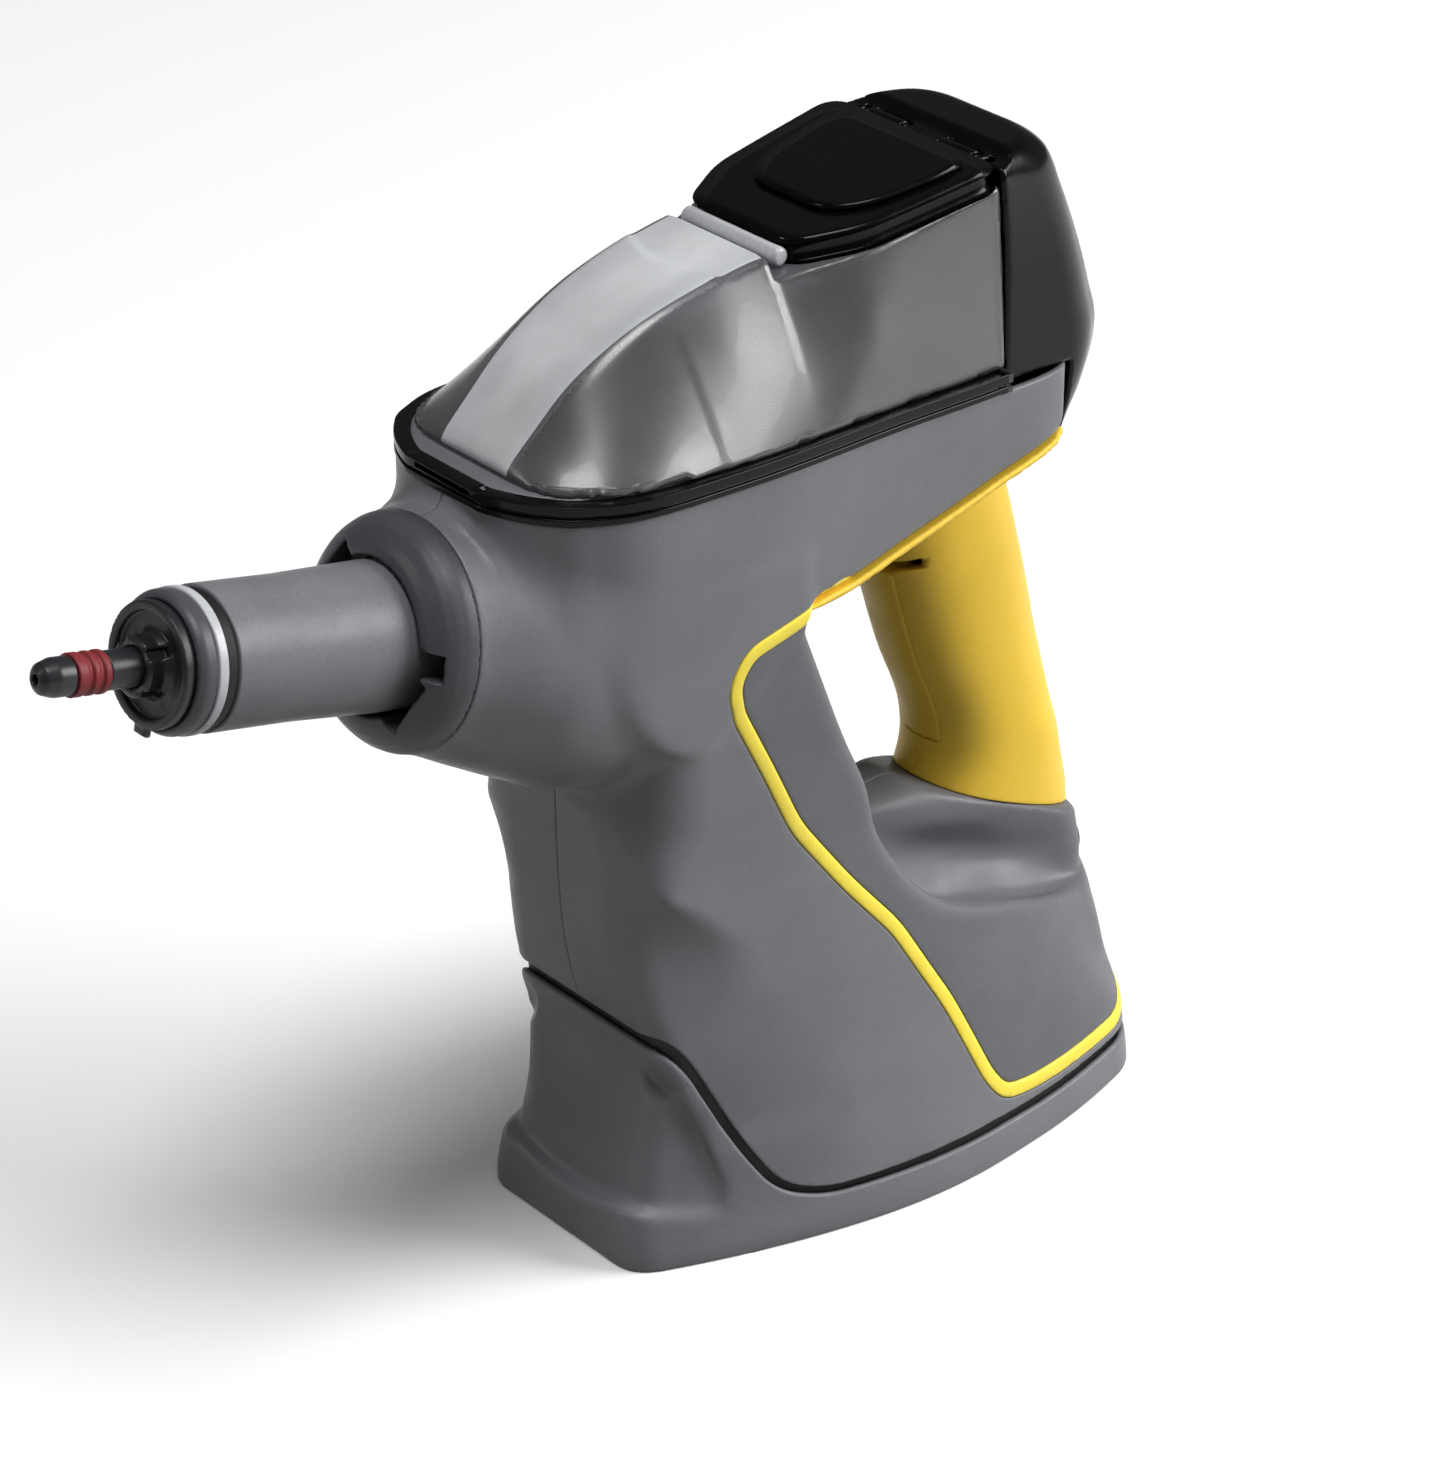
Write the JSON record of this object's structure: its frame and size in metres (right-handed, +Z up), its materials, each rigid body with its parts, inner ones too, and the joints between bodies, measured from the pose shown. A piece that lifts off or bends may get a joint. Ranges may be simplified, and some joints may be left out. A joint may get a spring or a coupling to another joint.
{
  "type": "wallpaper steamer",
  "caption": "Handheld wallpaper steamer with a closed trigger grip, clear water tank with hinged filler lid, upward nozzle with sealed steam spigot and a flared standing base.",
  "frame": {"origin": "middle of the standing face, under the base plate", "axes": "+X towards the nozzle, +Y to the left of a user who looks along the nozzle, +Z up"},
  "size_m": [0.3132, 0.1064, 0.264],
  "materials": {
    "housing": "satin dark grey moulding",
    "panel": "fine matt texture, dark grey",
    "plate": "matt black moulding",
    "yellow_trim": "smooth yellow moulding",
    "yellow_grip": "soft-touch yellow moulding",
    "rubber": "matt rubber",
    "seal_red": "dark red silicone",
    "screw_steel": "zinc-plated steel",
    "inner_black": "black moulding",
    "switch_plastic": "red moulding",
    "nose": "dark grey heat-resistant moulding",
    "light_band": "light grey moulding",
    "nozzle_black": "black heat-resistant moulding",
    "pipe_steel": "stainless steel",
    "clear_tank": "smoked clear plastic",
    "tank_fitting": "natural moulding",
    "gloss_black": "polished black",
    "boiler_alu": "cast",
    "terminal_brass": "plain",
    "control_white": "ceramic white",
    "pump_plastic": "moulded barrel",
    "hose": "silicone hose"
  },
  "bodies": {
    "steamer_body": {"housing_left": "housing", "housing_right": "housing", "side_panel_left": "panel", "side_panel_right": "panel", "trim_left": "yellow_trim", "trim_right": "yellow_trim", "base_skirt": "housing", "base_plate": "plate", "rubber_pads": "rubber", "base_screws": "screw_steel", "housing_screws": "screw_steel", "grip_left": "yellow_grip", "grip_right": "yellow_grip", "trigger_frame": "inner_black", "trigger_pin": "screw_steel", "trigger_spring": "screw_steel", "switch_body": "inner_black", "nose_ring": "nose", "nozzle_tube": "nose", "nozzle_seal_ring": "rubber", "nozzle_band": "light_band", "nozzle_cap": "nozzle_black", "steam_spigot": "nozzle_black", "spigot_seal": "seal_red", "steam_pipe": "pipe_steel", "tank": "clear_tank", "tank_rim": "inner_black", "tank_outlet": "tank_fitting", "tank_filter": "tank_fitting", "rear_cap": "gloss_black", "lid_pin": "screw_steel", "boiler": "boiler_alu", "boiler_lid": "boiler_alu", "heater_terminals": "terminal_brass", "thermostat": "control_white", "thermal_fuse": "control_white", "pump_body": "pump_plastic", "tank_hose": "hose", "boiler_hose": "hose", "terminal_block": "inner_black", "cord_inlet": "rubber", "cord_clamp": "inner_black"},
    "trigger": {"trigger": "yellow_grip"},
    "switch_plunger": {"switch_plunger": "switch_plastic"},
    "lid": {"lid": "gloss_black", "lid_pad": "gloss_black", "lid_bar": "light_band", "filler_seal": "rubber"},
    "pump_plunger": {"pump_plunger": "pipe_steel"}
  },
  "joints": [
    {"name": "trigger_squeeze", "type": "hinge", "parent": "steamer_body", "child": "trigger", "pos_m": [-0.043, 0, 0.091], "axis": [0, -1, 0], "range_deg": [0, 6], "stiffness_Nm_per_rad": 3, "springref_deg": -3.44, "deforming": ["trigger_spring"]},
    {"name": "switch_press", "type": "slide", "parent": "steamer_body", "child": "switch_plunger", "axis": [-0.9613, 0, 0.2756], "range_m": [0, 0.0015]},
    {"name": "lid_open", "type": "hinge", "parent": "steamer_body", "child": "lid", "pos_m": [-0.03404, 0, 0.26066], "axis": [0, -1, 0], "range_deg": [0, 95]},
    {"name": "pump_stroke", "type": "slide", "parent": "steamer_body", "child": "pump_plunger", "axis": [1, 0, 0], "range_m": [0, 0.002], "stiffness_N_per_m": 400}
  ],
  "couplings": [
    {"joint": "switch_press", "follows": "trigger_squeeze", "m_per_rad": 0.014}
  ]
}
